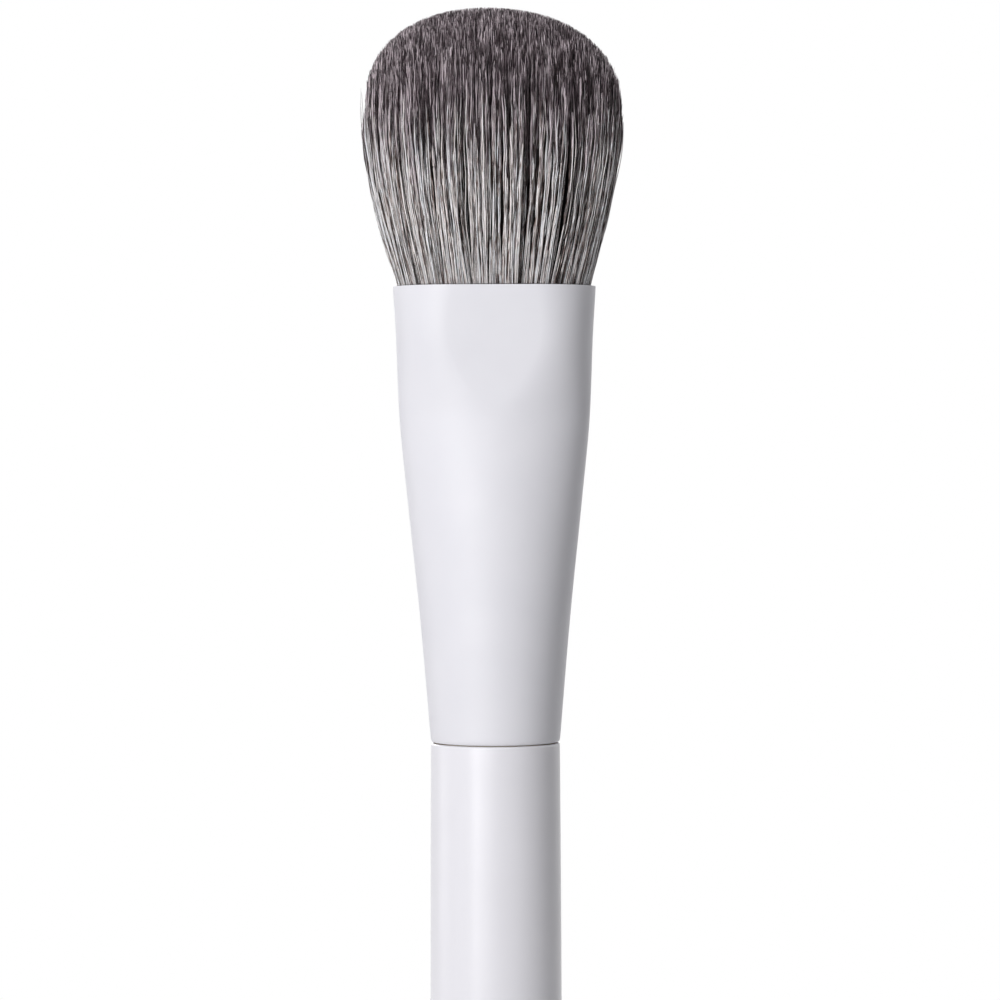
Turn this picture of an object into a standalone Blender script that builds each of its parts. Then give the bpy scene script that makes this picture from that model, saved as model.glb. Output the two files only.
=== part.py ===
"""A makeup brush: a flattened dome of hair in a drawn metal ferrule, on a turned handle.

Metres, +Z up along the brush. The origin is the centre of the handle's flat end, on which the
brush stands. The ferrule's broad sides face -Y and +Y.
"""

import math
from collections import namedtuple

import bmesh
import bpy
import numpy as np

MM = 0.001

# What keeps neighbouring pieces apart
GAP = 0.3 * MM

# How near two points of a mesh lie when they are one point
MERGE_DISTANCE = 0.001 * MM

# How finely round shapes are drawn
ROUND_SIDES = 48
ROUNDING_STEPS = 4
OUTLINE_SAMPLES = 160

# Handle, from its flat end up to the shoulder that the ferrule sits on
HANDLE_LENGTH = 92.0 * MM
HANDLE_TOP_DIAMETER = 15.0 * MM
HANDLE_SWELL_DIAMETER = 15.3 * MM
HANDLE_END_DIAMETER = 13.8 * MM
HANDLE_END_ROUNDING = 1.5 * MM
HANDLE_TOP_ROUNDING = 0.3 * MM
HANDLE_SWELL_HEIGHT = 50.0 * MM
HANDLE_BODY_STEPS = 10

# Tenon, turned in one piece with the handle and glued into the ferrule
TENON_LENGTH = 16.0 * MM
TENON_CHAMFER = 0.8 * MM
GLUE_FILM = 0.5 * MM
GLUE_GROOVES = 3
GLUE_GROOVE_DEPTH = 0.4 * MM
GLUE_GROOVE_WIDTH = 1.2 * MM

# Ferrule, a tube that is as wide as the handle below and a flat sided oval at its mouth
FERRULE_LENGTH = 53.3 * MM
FERRULE_WALL = 0.45 * MM
FERRULE_MOUTH_WIDTH = 23.6 * MM
FERRULE_MOUTH_DEPTH = 14.2 * MM
FERRULE_RIM_ROUNDING = 0.15 * MM
FERRULE_RINGS = 14

# Rows: height up the ferrule, then the width and the depth against those of a straight taper,
# and the length of the pressed flat against the width
FERRULE_STATION_SHARES = (
    (0.00, 1.000, 1.000, 0.00),
    (0.27, 1.007, 1.096, 0.00),
    (0.54, 1.038, 1.077, 0.00),
    (0.72, 1.047, 0.984, 0.00),
    (0.80, 1.031, 0.961, 0.28),
    (0.88, 1.013, 0.970, 0.44),
    (1.00, 1.000, 1.000, 0.39),
)

# Hair, from the ferrule's mouth up
HAIR_HEIGHT = 32.4 * MM
HAIR_SHOULDER_HEIGHT = 20.4 * MM
HAIR_WIDTH = 30.8 * MM
HAIR_DEPTH = 19.6 * MM
HAIR_FLAT_SHARE = 0.12
DOME_FULLNESS = 2.2

# Strands, each of which stands for a lock of hair
STRAND_THICKNESS = 0.64 * MM
STRAND_CLEARANCE = 0.16 * MM
STRAND_INSET = 0.2 * MM
STRAND_ROOT = 0.6 * MM
STRAND_TURN = math.radians(137.5)
STRAND_SIDES = 3
# Rows: place along a strand, and its thickness there against that of the root
STRAND_SHARES = ((0.00, 1.00), (0.40, 1.26), (0.84, 1.22), (1.00, 0.00))
TIP_SCATTER_SHARE = 0.13
CLEARANCE_CUTS = 30

# Root of the hair, set hard, with a knot below it that the thread is wound on
ROOT_BELOW_MOUTH = 0.8 * MM
ROOT_THICKNESS = 2.4 * MM
KNOT_TAIL = 0.6 * MM
THREAD_THICKNESS = 0.8 * MM
THREAD_SPACING = 0.5 * MM
THREAD_TURNS = 3
THREAD_TURN_POINTS = 24

# Plug of resin, a cup that the bound knot sits in
PLUG_WALL = 0.8 * MM
PLUG_FLOOR = 4.0 * MM
PLUG_RINGS = 4

# Colours are linear, as red, green and blue
SATIN_LAVENDER = (0.77, 0.77, 0.82)
LACQUER_LAVENDER = (0.80, 0.79, 0.84)
HAIR_TAUPE = (0.16, 0.13, 0.14)
RESIN_AMBER = (0.55, 0.42, 0.22)
GLUE_WHITE = (0.80, 0.78, 0.70)
THREAD_CREAM = (0.72, 0.66, 0.54)

FERRULE_FOOT_Z = HANDLE_LENGTH + GAP
MOUTH_Z = FERRULE_FOOT_Z + FERRULE_LENGTH
TENON_RADIUS = HANDLE_TOP_DIAMETER / 2 - FERRULE_WALL - GAP - GLUE_FILM - GAP
STRAND_SPACING = STRAND_THICKNESS + STRAND_CLEARANCE
THREAD_PITCH = THREAD_THICKNESS + THREAD_SPACING
KNOT_LENGTH = KNOT_TAIL + THREAD_TURNS * THREAD_PITCH + THREAD_THICKNESS + KNOT_TAIL


def clear_scene():
    for old in list(bpy.data.objects):
        bpy.data.objects.remove(old, do_unlink=True)


def new_collection(name):
    collection = bpy.data.collections.new(name)
    bpy.context.scene.collection.children.link(collection)
    return collection


def new_material(name, colour, roughness, metallic=0.0):
    material = bpy.data.materials.new(name)
    material.use_nodes = True
    shader = material.node_tree.nodes["Principled BSDF"]
    shader.inputs["Base Color"].default_value = (*colour, 1.0)
    shader.inputs["Roughness"].default_value = roughness
    shader.inputs["Metallic"].default_value = metallic
    material.diffuse_color = (*colour, 1.0)
    return material


def place(obj, collection, parent, height):
    """Puts an object in its collection, at a height on the brush's axis."""
    collection.objects.link(obj)
    obj.parent = parent
    obj.location = (0.0, 0.0, height)
    return obj


def smooth_round(mesh, sharp_degrees=35.0):
    mesh.shade_smooth()
    mesh.set_sharp_from_angle(angle=math.radians(sharp_degrees))


def through_stations(stations, position):
    """The columns of a table of stations, read on a smooth curve through its rows."""
    table = np.array(stations)
    positions, values = table[:, 0], table[:, 1:]
    slopes = np.gradient(values, positions, axis=0)
    low = int(np.clip(np.searchsorted(positions, position) - 1, 0, len(positions) - 2))
    span = positions[low + 1] - positions[low]
    part = (position - positions[low]) / span
    from_low = (1 + 2 * part) * values[low] + part * span * slopes[low]
    from_high = (3 - 2 * part) * values[low + 1] - (1 - part) * span * slopes[low + 1]
    return (1 - part) ** 2 * from_low + part**2 * from_high


def ferrule_section(height):
    """Half width, half depth and half flat of the ferrule's outside, at a height above its foot."""
    share = height / FERRULE_LENGTH
    width_share, depth_share, flat_share = through_stations(FERRULE_STATION_SHARES, share)
    taper_width = HANDLE_TOP_DIAMETER + (FERRULE_MOUTH_WIDTH - HANDLE_TOP_DIAMETER) * share
    taper_depth = HANDLE_TOP_DIAMETER + (FERRULE_MOUTH_DEPTH - HANDLE_TOP_DIAMETER) * share
    half_width = taper_width * width_share / 2
    half_depth = taper_depth * depth_share / 2
    return half_width, half_depth, half_width * max(0.0, flat_share)


def grown(section, by):
    """A section with the same flats whose outline lies further out, or in if by is negative."""
    half_width, half_depth, half_flat = section
    return half_width + by, half_depth + by, half_flat


def outline(section, height, points=ROUND_SIDES, start_share=0.0):
    """Points at even steps along a section's outline, anticlockwise from +X or past it."""
    half_width, half_depth, half_flat = section
    angles = np.linspace(0.0, 2 * math.pi, OUTLINE_SAMPLES + 1)
    right_then_left = np.where(np.cos(angles) >= 0.0, 1.0, -1.0)
    x = right_then_left * half_flat + (half_width - half_flat) * np.cos(angles)
    y = half_depth * np.sin(angles)
    walked = np.concatenate(([0.0], np.cumsum(np.hypot(np.diff(x), np.diff(y)))))
    stops = (np.arange(points) + start_share) / points * walked[-1]
    return [
        (px, py, height)
        for px, py in zip(np.interp(stops, walked, x), np.interp(stops, walked, y))
    ]


def loft(name, rings, ring_shaped=False):
    """A closed body through rings of points, with flat ends, or with its last ring on its first."""
    mesh = bpy.data.meshes.new(name)
    body = bmesh.new()
    loops = [[body.verts.new(point) for point in ring] for ring in rings]
    pairs = list(zip(loops, loops[1:]))
    if ring_shaped:
        pairs.append((loops[-1], loops[0]))
    else:
        body.faces.new(loops[0])
        body.faces.new(loops[-1])
    for lower, upper in pairs:
        for side, corner in enumerate(lower):
            after = (side + 1) % len(lower)
            body.faces.new((corner, lower[after], upper[after], upper[side]))
    bmesh.ops.recalc_face_normals(body, faces=body.faces)
    body.to_mesh(mesh)
    body.free()
    smooth_round(mesh)
    return bpy.data.objects.new(name, mesh)


def arc(centre, radius, from_degrees, to_degrees):
    """Points of a rounding in a turned profile, as radius and height."""
    angles = np.radians(np.linspace(from_degrees, to_degrees, ROUNDING_STEPS + 1))
    return [(centre[0] + radius * math.cos(a), centre[1] + radius * math.sin(a)) for a in angles]


def tenon_profile():
    """The tenon from the centre of its end down its side, with the grooves that hold the glue."""
    top = HANDLE_LENGTH + TENON_LENGTH
    points = [(0.0, top), (TENON_RADIUS - TENON_CHAMFER, top), (TENON_RADIUS, top - TENON_CHAMFER)]
    step = (TENON_LENGTH - TENON_CHAMFER) / (GLUE_GROOVES + 1)
    for groove in range(GLUE_GROOVES):
        middle = top - TENON_CHAMFER - (groove + 1) * step
        points.append((TENON_RADIUS, middle + GLUE_GROOVE_WIDTH / 2))
        points.append((TENON_RADIUS - GLUE_GROOVE_DEPTH, middle + GLUE_GROOVE_WIDTH / 4))
        points.append((TENON_RADIUS - GLUE_GROOVE_DEPTH, middle - GLUE_GROOVE_WIDTH / 4))
        points.append((TENON_RADIUS, middle - GLUE_GROOVE_WIDTH / 2))
    points.append((TENON_RADIUS, HANDLE_LENGTH))
    return points


def handle_radius(height):
    """The handle swells a little below the ferrule and narrows again towards its end."""
    if height > HANDLE_SWELL_HEIGHT:
        part = (height - HANDLE_SWELL_HEIGHT) / (HANDLE_LENGTH - HANDLE_SWELL_HEIGHT)
        far_diameter = HANDLE_TOP_DIAMETER
    else:
        part = (HANDLE_SWELL_HEIGHT - height) / HANDLE_SWELL_HEIGHT
        far_diameter = HANDLE_END_DIAMETER
    return (HANDLE_SWELL_DIAMETER + (far_diameter - HANDLE_SWELL_DIAMETER) * part**2) / 2


def make_handle():
    """The handle and its tenon are one turned piece."""
    shoulder = HANDLE_LENGTH - HANDLE_TOP_ROUNDING
    top_radius = handle_radius(shoulder)
    points = tenon_profile()
    points += arc((top_radius - HANDLE_TOP_ROUNDING, shoulder), HANDLE_TOP_ROUNDING, 90, 0)
    for height in np.linspace(shoulder, HANDLE_END_ROUNDING, HANDLE_BODY_STEPS + 1)[1:-1]:
        points.append((handle_radius(height), height))
    end_radius = handle_radius(HANDLE_END_ROUNDING)
    end_centre = (end_radius - HANDLE_END_ROUNDING, HANDLE_END_ROUNDING)
    points += arc(end_centre, HANDLE_END_ROUNDING, 0, -90)
    points.append((0.0, 0.0))

    mesh = bpy.data.meshes.new("handle")
    mesh.from_pydata(
        [(radius, 0.0, height) for radius, height in points],
        [(at, at + 1) for at in range(len(points) - 1)],
        [],
    )
    handle = bpy.data.objects.new("handle", mesh)
    turned = handle.modifiers.new("turned", "SCREW")
    turned.steps = turned.render_steps = ROUND_SIDES
    turned.use_merge_vertices = True
    turned.merge_threshold = MERGE_DISTANCE
    turned.use_smooth_shade = True
    return handle


def make_ferrule():
    """The ferrule's tube, with rings up its outside and down its inside."""
    rim = FERRULE_RIM_ROUNDING
    heights = np.linspace(rim, FERRULE_LENGTH - rim, FERRULE_RINGS)
    outside = [outline(ferrule_section(height), height) for height in heights]
    inside = [outline(grown(ferrule_section(height), -FERRULE_WALL), height) for height in heights]
    foot = ferrule_section(0.0)
    mouth = ferrule_section(FERRULE_LENGTH)
    rings = [outline(grown(foot, -rim), 0.0), *outside]
    rings += [outline(grown(mouth, -rim), FERRULE_LENGTH)]
    rings += [outline(grown(mouth, rim - FERRULE_WALL), FERRULE_LENGTH), *reversed(inside)]
    rings += [outline(grown(foot, rim - FERRULE_WALL), 0.0)]
    return loft("ferrule", rings, ring_shaped=True)


def make_tenon_glue():
    """The sleeve of adhesive fills the ferrule round the tenon."""
    heights = np.linspace(GAP, TENON_LENGTH - TENON_CHAMFER - GAP, PLUG_RINGS)
    film = -FERRULE_WALL - GAP
    hole = (TENON_RADIUS + GAP, TENON_RADIUS + GAP, 0.0)
    outside = [outline(grown(ferrule_section(height), film), height) for height in heights]
    inside = [outline(hole, heights[-1]), outline(hole, heights[0])]
    return loft("tenon_glue", outside + inside, ring_shaped=True)


def inner_section(below_mouth):
    """What fits in the ferrule with a gap round it, at a depth below the mouth."""
    return grown(ferrule_section(FERRULE_LENGTH - below_mouth), -FERRULE_WALL - GAP)


def knot_section():
    """The knot leaves room for the thread round it and for the plug's wall round that."""
    narrowest = inner_section(ROOT_BELOW_MOUTH + ROOT_THICKNESS + KNOT_LENGTH)
    half_width, half_depth, _ = grown(narrowest, -PLUG_WALL - GAP - THREAD_THICKNESS - GAP)
    return half_width, half_depth, half_width - half_depth


def make_plug():
    """The plug of resin below the hair, with a pocket for the bound knot."""
    rim = ROOT_BELOW_MOUTH + ROOT_THICKNESS + GAP
    pocket_floor = ROOT_BELOW_MOUTH + ROOT_THICKNESS + KNOT_LENGTH + GAP
    bottom = pocket_floor + PLUG_FLOOR
    outside = [outline(inner_section(depth), -depth) for depth in np.linspace(bottom, rim, PLUG_RINGS)]
    pocket = grown(knot_section(), GAP + THREAD_THICKNESS + GAP)
    inside = [outline(pocket, -rim), outline(pocket, -pocket_floor)]
    return loft("root_glue_plug", outside + inside)


def make_thread():
    """The thread is one unbroken cord, wound round the knot from its foot up."""
    path = grown(knot_section(), GAP + THREAD_THICKNESS / 2)
    start = -(ROOT_BELOW_MOUTH + ROOT_THICKNESS + KNOT_LENGTH) + KNOT_TAIL + THREAD_THICKNESS / 2
    turn = outline(path, 0.0, THREAD_TURN_POINTS)
    count = THREAD_TURNS * THREAD_TURN_POINTS + 1
    points = [
        (*turn[at % THREAD_TURN_POINTS][:2], start + THREAD_PITCH * at / THREAD_TURN_POINTS)
        for at in range(count)
    ]
    report_least_gap(points)

    curve = bpy.data.curves.new("binding_thread", "CURVE")
    curve.dimensions = "3D"
    curve.bevel_depth = THREAD_THICKNESS / 2
    curve.bevel_resolution = 1
    curve.use_fill_caps = True
    spline = curve.splines.new("POLY")
    spline.points.add(count - 1)
    for knot, point in zip(spline.points, points):
        knot.co = (*point, 1.0)
    return bpy.data.objects.new("binding_thread", curve)


def report_least_gap(points):
    """Prints how near two turns of the thread come to each other."""
    places = np.array(points)
    apart = np.linalg.norm(places[:, None] - places[None], axis=2)
    steps = np.abs(np.subtract.outer(np.arange(len(places)), np.arange(len(places))))
    least = apart[steps > THREAD_TURN_POINTS / 2].min() - THREAD_THICKNESS
    print(f"binding_thread: least gap between turns {least / MM:.2f} mm")


def hair_section(height):
    """The bundle's half width, half depth and half flat, at a height above the mouth."""
    root_width, root_depth, root_flat = grown(inner_section(ROOT_BELOW_MOUTH), -STRAND_INSET)
    rise = (height + ROOT_BELOW_MOUTH) / (HAIR_SHOULDER_HEIGHT + ROOT_BELOW_MOUTH)
    spread = math.sin(min(1.0, max(0.0, rise)) * math.pi / 2)
    half_width = root_width + (HAIR_WIDTH / 2 - root_width) * spread
    half_depth = root_depth + (HAIR_DEPTH / 2 - root_depth) * spread
    half_flat = root_flat + (HAIR_FLAT_SHARE * HAIR_WIDTH / 2 - root_flat) * spread
    return half_width, half_depth, half_flat


def length_round(section):
    """The length of a section's outline."""
    ring = np.array(outline(section, 0.0))
    return np.linalg.norm(ring - np.roll(ring, 1, axis=0), axis=1).sum()


Shell = namedtuple("Shell", "depth_share strands start_share")


def shells_of_strands():
    """The bundle's shells of strands, one inside the other, round a single row in the middle.

    A shell's depth is a share of the bundle's half depth, so it stays in its place as that grows.
    """
    root = hair_section(-ROOT_BELOW_MOUTH)
    outermost = STRAND_THICKNESS / 2
    steps = round((root[1] - outermost) / STRAND_SPACING)
    shells = []
    for number, depth in enumerate(np.linspace(outermost, root[1], steps + 1)[:-1]):
        pairs = int(length_round(grown(root, -depth)) / (2 * STRAND_SPACING))
        shells.append(Shell(depth / root[1], 2 * pairs, 0.5 * ((steps - number + 1) % 2)))
    shells.append(Shell(1.0, int(2 * (root[0] - root[1]) / STRAND_SPACING) + 1, 0.0))
    return shells


def strand_spot(shell, number, height):
    """Where a strand of a shell is in the bundle at a height above the mouth."""
    section = hair_section(height)
    if shell.depth_share == 1.0:
        half_row = section[0] - section[1]
        return half_row * (2 * number / (shell.strands - 1) - 1), 0.0, height
    ring = grown(section, -shell.depth_share * section[1])
    return outline(ring, height, shell.strands, shell.start_share)[number]


def tip_height(shell, number):
    """The dome's height over a strand, scattered a little from front to back."""
    foot = -ROOT_BELOW_MOUTH
    x, y, _ = strand_spot(shell, number, foot)
    half_width, half_depth, half_flat = grown(hair_section(foot), -STRAND_THICKNESS / 2)
    past_flat = max(0.0, abs(x) - half_flat) / (half_width - half_flat)
    depth_here = half_depth * math.sqrt(max(0.0, 1.0 - past_flat**2))
    across = min(1.0, abs(x) / half_width)
    through = abs(y) / depth_here if abs(y) < depth_here else 1.0
    through *= 1.0 - TIP_SCATTER_SHARE * (number * STRAND_TURN / (2 * math.pi) % 1.0)
    out = min(1.0, math.hypot(across, through * math.sqrt(1.0 - across**2)))
    dome = (1.0 - out**DOME_FULLNESS) ** (1.0 / DOME_FULLNESS)
    return HAIR_SHOULDER_HEIGHT + (HAIR_HEIGHT - HAIR_SHOULDER_HEIGHT) * dome


def strand_path(shell, number):
    """A strand's points, with its thickness at each against that of its root."""
    foot = -ROOT_BELOW_MOUTH
    length = tip_height(shell, number) - foot
    x, y, _ = strand_spot(shell, number, foot)
    path = [((x, y, foot - STRAND_ROOT), 1.0)]
    for share, thickness_share in STRAND_SHARES[1:]:
        path.append((strand_spot(shell, number, foot + length * share), thickness_share))
    return path


def report_least_clearance(paths):
    """Prints how near two strands come to each other, at even heights up the bundle."""
    least = HAIR_WIDTH
    for height in np.linspace(-ROOT_BELOW_MOUTH, HAIR_HEIGHT, CLEARANCE_CUTS)[:-1]:
        cuts = []
        for path in paths:
            rise = [point[2] for point, _ in path]
            if height < rise[-1]:
                x = np.interp(height, rise, [point[0] for point, _ in path])
                y = np.interp(height, rise, [point[1] for point, _ in path])
                cuts.append((x, y, np.interp(height, rise, [share for _, share in path])))
        x, y, share = np.array(cuts).T
        apart = np.hypot(np.subtract.outer(x, x), np.subtract.outer(y, y))
        apart -= np.add.outer(share, share) * STRAND_THICKNESS / 2
        least = min(least, apart[~np.eye(len(x), dtype=bool)].min())
    print(f"hair_tuft: {len(paths)} strands, least clearance {least / MM:.2f} mm")


def make_strands(cutters, parent):
    """All strands as three sided tapering tubes, apart from each other."""
    profile = bpy.data.curves.new("strand_profile", "CURVE")
    corners = profile.splines.new("POLY")
    corners.points.add(STRAND_SIDES - 1)
    corners.use_cyclic_u = True
    for number, corner in enumerate(corners.points):
        angle = number * 2 * math.pi / STRAND_SIDES
        corner.co = (
            STRAND_THICKNESS / 2 * math.cos(angle),
            STRAND_THICKNESS / 2 * math.sin(angle),
            0.0,
            1.0,
        )
    profile_guide = place(bpy.data.objects.new("strand_profile", profile), cutters, parent, 0.0)

    curve = bpy.data.curves.new("strand_paths", "CURVE")
    curve.dimensions = "3D"
    curve.bevel_mode = "OBJECT"
    curve.bevel_object = profile_guide
    curve.use_fill_caps = True
    strand_paths = [
        strand_path(shell, number)
        for shell in shells_of_strands()
        for number in range(shell.strands)
    ]
    report_least_clearance(strand_paths)
    for number, path in enumerate(strand_paths):
        spline = curve.splines.new("POLY")
        spline.points.add(len(path) - 1)
        for knot, (point, thickness_share) in zip(spline.points, path):
            knot.co = (*point, 1.0)
            knot.radius = thickness_share
            knot.tilt = number * STRAND_TURN
    paths = place(bpy.data.objects.new("strand_paths", curve), cutters, parent, MOUTH_Z)

    bpy.context.view_layer.update()
    evaluated = paths.evaluated_get(bpy.context.evaluated_depsgraph_get())
    mesh = bpy.data.meshes.new_from_object(evaluated)
    welded = bmesh.new()
    welded.from_mesh(mesh)
    bmesh.ops.remove_doubles(welded, verts=welded.verts, dist=MERGE_DISTANCE)
    bmesh.ops.recalc_face_normals(welded, faces=welded.faces)
    welded.to_mesh(mesh)
    welded.free()
    strands = place(bpy.data.objects.new("strands", mesh), cutters, parent, MOUTH_Z)
    bpy.data.objects.remove(paths)
    bpy.data.objects.remove(profile_guide)
    return strands


def make_tuft(strands):
    """The set root and its knot, with the strands joined to the root's top."""
    top = ROOT_BELOW_MOUTH
    under = top + ROOT_THICKNESS
    knot = knot_section()
    rings = [
        outline(knot, -(under + KNOT_LENGTH)),
        outline(knot, -under),
        outline(inner_section(under), -under),
        outline(inner_section(top), -top),
    ]
    tuft = loft("hair_tuft", rings)
    joined = tuft.modifiers.new("strands", "BOOLEAN")
    joined.operation = "UNION"
    joined.solver = "EXACT"
    joined.use_self = True
    joined.object = strands
    return tuft


def main():
    clear_scene()
    brush = new_collection("makeup_brush")
    cutters = new_collection("cutters")
    axis = bpy.data.objects.new("brush_axis", None)
    brush.objects.link(axis)

    handle = place(make_handle(), brush, axis, 0.0)
    handle.data.materials.append(new_material("lavender_lacquer", LACQUER_LAVENDER, 0.28))

    ferrule = place(make_ferrule(), brush, axis, FERRULE_FOOT_Z)
    ferrule.data.materials.append(new_material("satin_coat", SATIN_LAVENDER, 0.38, 0.1))

    glue = place(make_tenon_glue(), brush, axis, FERRULE_FOOT_Z)
    glue.data.materials.append(new_material("tenon_adhesive", GLUE_WHITE, 0.5))

    strands = make_strands(cutters, axis)
    strands.hide_render = True
    strands.display_type = "WIRE"
    tuft = place(make_tuft(strands), brush, axis, MOUTH_Z)
    tuft.data.materials.append(new_material("hair", HAIR_TAUPE, 0.6))

    thread = place(make_thread(), brush, axis, MOUTH_Z)
    thread.data.materials.append(new_material("thread", THREAD_CREAM, 0.8))

    plug = place(make_plug(), brush, axis, MOUTH_Z)
    plug.data.materials.append(new_material("resin", RESIN_AMBER, 0.35))

    total = MOUTH_Z + HAIR_HEIGHT
    print(f"makeup brush: {total / MM:.1f} mm long, mouth at {MOUTH_Z / MM:.1f} mm")


main()
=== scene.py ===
# %% [markdown]
# # Dressing a makeup brush for its picture
# The brush is a full dome of two-tone hair in a satin metal ferrule, on a lacquered handle. A measured
# model of it was made first, and it is loaded here as a frame that never changes. What follows is only
# the look: a finer shape for each piece at the same size, a finish for every surface, light and camera.

# %% Load the frame
import math

import bmesh
import bpy
import numpy as np
from mathutils import Matrix, Vector, kdtree


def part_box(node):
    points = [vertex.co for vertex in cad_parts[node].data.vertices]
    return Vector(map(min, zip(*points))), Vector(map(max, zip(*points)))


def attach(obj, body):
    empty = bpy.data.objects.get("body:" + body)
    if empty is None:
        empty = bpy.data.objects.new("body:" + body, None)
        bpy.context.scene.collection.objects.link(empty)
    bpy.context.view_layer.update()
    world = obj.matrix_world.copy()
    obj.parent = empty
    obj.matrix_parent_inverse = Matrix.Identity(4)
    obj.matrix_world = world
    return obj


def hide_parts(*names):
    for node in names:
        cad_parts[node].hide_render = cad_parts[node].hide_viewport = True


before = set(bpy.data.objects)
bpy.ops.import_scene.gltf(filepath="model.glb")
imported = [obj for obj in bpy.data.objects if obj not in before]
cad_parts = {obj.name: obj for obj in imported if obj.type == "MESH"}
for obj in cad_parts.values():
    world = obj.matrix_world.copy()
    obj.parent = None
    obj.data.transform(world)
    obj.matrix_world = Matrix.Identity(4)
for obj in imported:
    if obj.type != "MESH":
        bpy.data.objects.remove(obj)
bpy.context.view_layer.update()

MM = 0.001
print("nodes:", ", ".join(sorted(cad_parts)))

# %% [markdown]
# The frame's own boxes give the ferrule's foot and mouth, the handle's swell and the tenon's end, so the
# dressed pieces land where the measured ones are. What no box shows is given here as it was measured. The
# seam sits a little higher than in the frame, where the photograph has it.

# %% Sizes read from the frame
ferrule_low, ferrule_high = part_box("ferrule")
handle_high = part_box("handle")[1]
thread_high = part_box("binding_thread")[1]
tuft_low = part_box("hair_tuft")[0]

SEAM_RAISED = 0.42 * MM
FOOT_Z = ferrule_low.z + SEAM_RAISED
MOUTH_Z = ferrule_high.z
FERRULE_LENGTH = MOUTH_Z - FOOT_Z
MOUTH_HALF_WIDTH = ferrule_high.x
MOUTH_HALF_DEPTH = 7.1 * MM
FOOT_RADIUS = 7.5 * MM
FERRULE_WALL = 0.45 * MM
SEAM = 0.12 * MM
SHOULDER_Z = FOOT_Z - SEAM
SWELL_RADIUS = handle_high.x
SWELL_Z = 50.0 * MM
END_RADIUS = 6.9 * MM
TENON_END_Z = handle_high.z
print("mouth at", round(MOUTH_Z / MM, 1), "foot at", round(FOOT_Z / MM, 1))

# %% [markdown]
# Modelling by hand means selecting a few points and moving them. These helpers do the same in code.
# An operator acts on whatever is selected, so each step first selects by place and then acts.

# %% Helpers for selecting and finishing
SAME_HEIGHT = 0.002 * MM
SMOOTH_ANGLE = math.radians(35.0)
SHARP_ANGLE = math.radians(50.0)


def add_piece(name, operator, **settings):
    """Adds a plain shape with a modelling operator, and names it."""
    bpy.ops.object.select_all(action="DESELECT")
    operator(**settings)
    piece = bpy.context.object
    piece.name = piece.data.name = name
    return piece


def only(piece):
    """Makes one object the only one that is selected, and the active one."""
    bpy.ops.object.select_all(action="DESELECT")
    piece.select_set(True)
    bpy.context.view_layer.objects.active = piece


def select_points(piece, wanted):
    """In edit mode, selects the points whose place passes a test."""
    bpy.ops.mesh.select_all(action="DESELECT")
    body = bmesh.from_edit_mesh(piece.data)
    for point in body.verts:
        if wanted(point.co):
            point.select_set(True)
    body.select_flush_mode()
    bmesh.update_edit_mesh(piece.data)


def near_height(height, reach=SAME_HEIGHT):
    """A test for points at one height."""
    return lambda place: abs(place.z - height) < reach


def face_outward():
    """Turns every face of the piece in edit mode outward, and leaves edit mode."""
    bpy.ops.mesh.select_all(action="SELECT")
    bpy.ops.mesh.normals_make_consistent(inside=False)
    bpy.ops.object.mode_set(mode="OBJECT")


def smooth(piece):
    """Shades a finished piece smooth, with its real edges kept crisp."""
    only(piece)
    bpy.ops.object.shade_smooth_by_angle(angle=SMOOTH_ANGLE)
    print(f"{piece.name}: {len(piece.data.polygons)} faces")


def apply_modifier(piece, kind, **settings):
    """Adds a modifier, sets it and applies it."""
    only(piece)
    modifier = piece.modifiers.new(kind.title(), kind)
    for setting, value in settings.items():
        setattr(modifier, setting, value)
    bpy.ops.object.modifier_apply(modifier=modifier.name)


def round_edges(piece, width, segments):
    """Breaks a piece's sharp edges with a small bevel."""
    apply_modifier(piece, "BEVEL", width=width, segments=segments,
                   limit_method="ANGLE", angle_limit=SHARP_ANGLE)


# %% [markdown]
# Both the ferrule and the handle are stacks of rings. A ring is extruded upwards and then scaled to the
# section at its new height. An oval with pressed flats is a round ring whose two halves have moved
# apart, so a section is three numbers: half width, half depth and half of the flat between the halves.

# %% Rings that grow into a tube
RING_SIDES = 96
HALF_STEP = math.pi / RING_SIDES


def move_halves(piece, height, by):
    """Moves the right half of the ring at a height by a distance along X, and the left half back."""
    at_height = near_height(height)
    for side in (1.0, -1.0):
        select_points(piece, lambda place: at_height(place) and place.x * side > 0)
        bpy.ops.transform.translate(value=(side * by, 0.0, 0.0))
    select_points(piece, at_height)


def shape_ring(piece, height, before, after):
    """Turns the ring at a height from one section into another."""
    width, depth, flat = before
    new_width, new_depth, new_flat = after
    if flat:
        move_halves(piece, height, -flat)
    wider = (new_width - new_flat) / (width - flat)
    deeper = new_depth / depth
    bpy.ops.transform.resize(value=(wider, deeper, 1.0), center_override=(0.0, 0.0, height))
    if new_flat:
        move_halves(piece, height, new_flat)


def tube_of_rings(name, heights, section_at):
    """An open tube through the sections at these heights, extruded ring by ring."""
    first = section_at(heights[0])
    radius = first[0] - first[2]
    piece = add_piece(name, bpy.ops.mesh.primitive_circle_add, vertices=RING_SIDES, radius=radius)
    bpy.ops.object.mode_set(mode="EDIT")
    bpy.ops.transform.rotate(value=HALF_STEP, orient_axis="Z", center_override=(0.0, 0.0, 0.0))
    bpy.ops.transform.translate(value=(0.0, 0.0, heights[0]))
    shape_ring(piece, heights[0], (radius, radius, 0.0), first)
    for below, height in zip(heights, heights[1:]):
        bpy.ops.mesh.extrude_region_move(TRANSFORM_OT_translate={"value": (0.0, 0.0, height - below)})
        shape_ring(piece, height, section_at(below), section_at(height))
    return piece


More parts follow.
